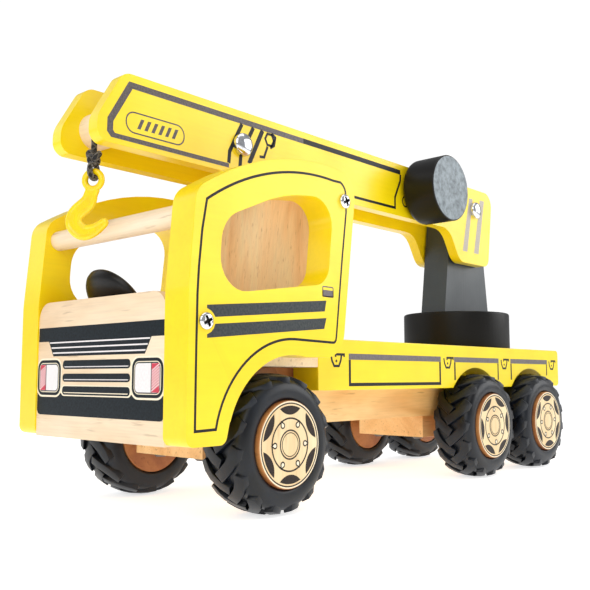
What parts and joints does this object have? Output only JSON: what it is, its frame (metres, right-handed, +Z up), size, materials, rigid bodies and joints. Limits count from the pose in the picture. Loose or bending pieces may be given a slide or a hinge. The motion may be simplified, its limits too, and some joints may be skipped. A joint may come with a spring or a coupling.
{
  "type": "toy crane truck",
  "caption": "Six-wheeled wooden toy crane truck with open cab, slewing tower, luffing twin-board boom, hand winch and a hook on a cord.",
  "frame": {"origin": "middle of the footprint on the ground, cord and hook left out", "axes": "+Z up; the truck faces -Y, its own left side is +X; stored with the boom level and pointing forward"},
  "size_m": [0.1374, 0.3962, 0.2104],
  "materials": {
    "natural_wood": "satin clear lacquer",
    "yellow_paint": "gloss yellow paint with printed dark graphics",
    "black_paint": "satin black paint",
    "black_plastic": "satin black",
    "steel": "bright zinc",
    "tyre": "matte with block tread",
    "cord": "braided",
    "yellow_plastic": "gloss"
  },
  "bodies": {
    "chassis": {"chassis_board": "natural_wood", "bed": "yellow_paint", "cab_riser": "natural_wood", "cab_floor": "natural_wood", "cab_rear_wall": "natural_wood", "grille_board": "natural_wood", "left_cab_side": "yellow_paint", "right_cab_side": "yellow_paint", "windscreen_rail": "natural_wood", "cab_screws": "steel", "front_axle_block": "natural_wood", "rear_axle_block": "natural_wood", "axle_block_screws": "steel"},
    "front_wheels": {"front_axle": "steel", "front_left_hub": "natural_wood", "front_right_hub": "natural_wood", "front_left_tyre": "tyre", "front_right_tyre": "tyre"},
    "middle_wheels": {"middle_axle": "steel", "middle_left_hub": "natural_wood", "middle_right_hub": "natural_wood", "middle_left_tyre": "tyre", "middle_right_tyre": "tyre"},
    "rear_wheels": {"rear_axle": "steel", "rear_left_hub": "natural_wood", "rear_right_hub": "natural_wood", "rear_left_tyre": "tyre", "rear_right_tyre": "tyre"},
    "steering": {"steering_wheel": "black_plastic", "steering_stem": "natural_wood"},
    "turntable": {"turntable_disc": "black_paint", "turntable_bolt": "steel", "turntable_nut": "steel", "tower": "black_paint", "tower_screws": "steel"},
    "boom": {"left_boom_board": "yellow_paint", "right_boom_board": "yellow_paint", "tip_roller": "natural_wood", "guide_pin": "steel", "guide_spacer": "natural_wood", "boom_pivot_pin": "steel", "pivot_washers": "steel", "pin_caps": "steel", "hoist_cord": "cord"},
    "winch": {"winch_spindle": "natural_wood", "winch_knob": "black_plastic", "winch_end_cap": "black_plastic", "cord_winding": "cord"},
    "hanging_cord": {"cord_drop": "cord"},
    "hook_block": {"cord_knot": "cord"},
    "hook": {"hook": "yellow_plastic"}
  },
  "joints": [
    {"name": "front_axle_roll", "type": "hinge", "parent": "chassis", "child": "front_wheels", "pos_m": [0, -0.12, 0.033], "axis": [1, 0, 0], "continuous": true},
    {"name": "middle_axle_roll", "type": "hinge", "parent": "chassis", "child": "middle_wheels", "pos_m": [0, 0.073, 0.033], "axis": [1, 0, 0], "continuous": true},
    {"name": "rear_axle_roll", "type": "hinge", "parent": "chassis", "child": "rear_wheels", "pos_m": [0, 0.15, 0.033], "axis": [1, 0, 0], "continuous": true},
    {"name": "steering_turn", "type": "hinge", "parent": "chassis", "child": "steering", "pos_m": [-0.021, -0.158, 0.102], "axis": [0, 0.788, 0.6157], "continuous": true},
    {"name": "slew", "type": "hinge", "parent": "chassis", "child": "turntable", "pos_m": [0, 0.135, 0.0843], "axis": [0, 0, 1], "continuous": true},
    {"name": "luff", "type": "hinge", "parent": "turntable", "child": "boom", "pos_m": [0, 0.133, 0.1885], "axis": [-1, 0, 0], "range_deg": [0, 65]},
    {"name": "winch_turn", "type": "hinge", "parent": "boom", "child": "winch", "pos_m": [0, 0.057, 0.1885], "axis": [1, 0, 0], "range_deg": [0, 1074]},
    {"name": "cord_hang", "type": "hinge", "parent": "boom", "child": "hanging_cord", "pos_m": [0, -0.1791, 0.1834], "axis": [-1, 0, 0], "range_deg": [-65, 0]},
    {"name": "hoist", "type": "slide", "parent": "hanging_cord", "child": "hook_block", "axis": [0, 0, -1], "range_m": [0, 0.12]},
    {"name": "hook_swing", "type": "hinge", "parent": "hook_block", "child": "hook", "pos_m": [0.0039, -0.1896, 0.1552], "axis": [-0.5299, 0.848, 0], "range_deg": [-12, 30]}
  ],
  "couplings": [
    {"joint": "hoist", "follows": "winch_turn", "m_per_rad": 0.0064},
    {"joint": "cord_hang", "follows": "luff", "ratio": -1}
  ]
}
